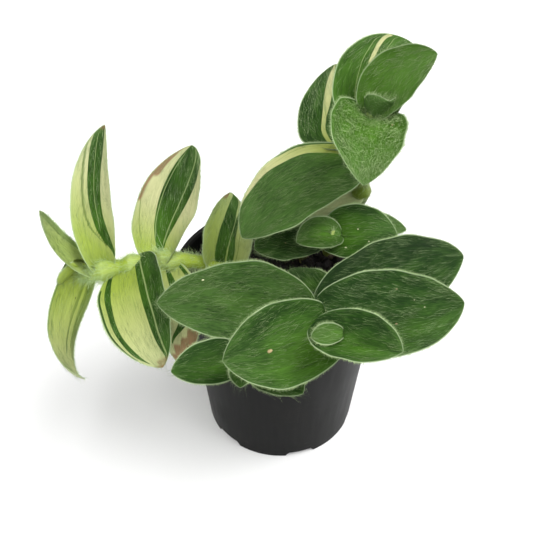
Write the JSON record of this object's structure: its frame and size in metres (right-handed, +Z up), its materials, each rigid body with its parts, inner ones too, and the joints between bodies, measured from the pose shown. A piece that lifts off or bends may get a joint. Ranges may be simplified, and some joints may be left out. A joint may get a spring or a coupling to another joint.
{
  "type": "potted tradescantia plant",
  "caption": "Velvet tradescantia with hairy oval leaves, partly striped in cream, growing from a round nursery pot of potting mix.",
  "frame": {"origin": "centre of the pot's foot, on the surface that the pot stands on", "axes": "+Z up; -Y is the front, where the low rosette leans over the rim; +X is to the right of that view"},
  "size_m": [0.1622, 0.1351, 0.1758],
  "materials": {
    "pot_plastic": "matt moulded polypropylene",
    "potting_mix": "damp peat and fine bark",
    "lime_foliage": "velvety, lime and cream with green bands",
    "green_foliage": "velvety dark green with pale hairy margins"
  },
  "bodies": {
    "root": {"pot": "pot_plastic", "soil": "potting_mix", "left_trailing_stem": "lime_foliage", "tall_stem": "green_foliage", "middle_stem": "green_foliage", "front_stem": "green_foliage", "low_front_shoot": "green_foliage"}
  },
  "joints": []
}
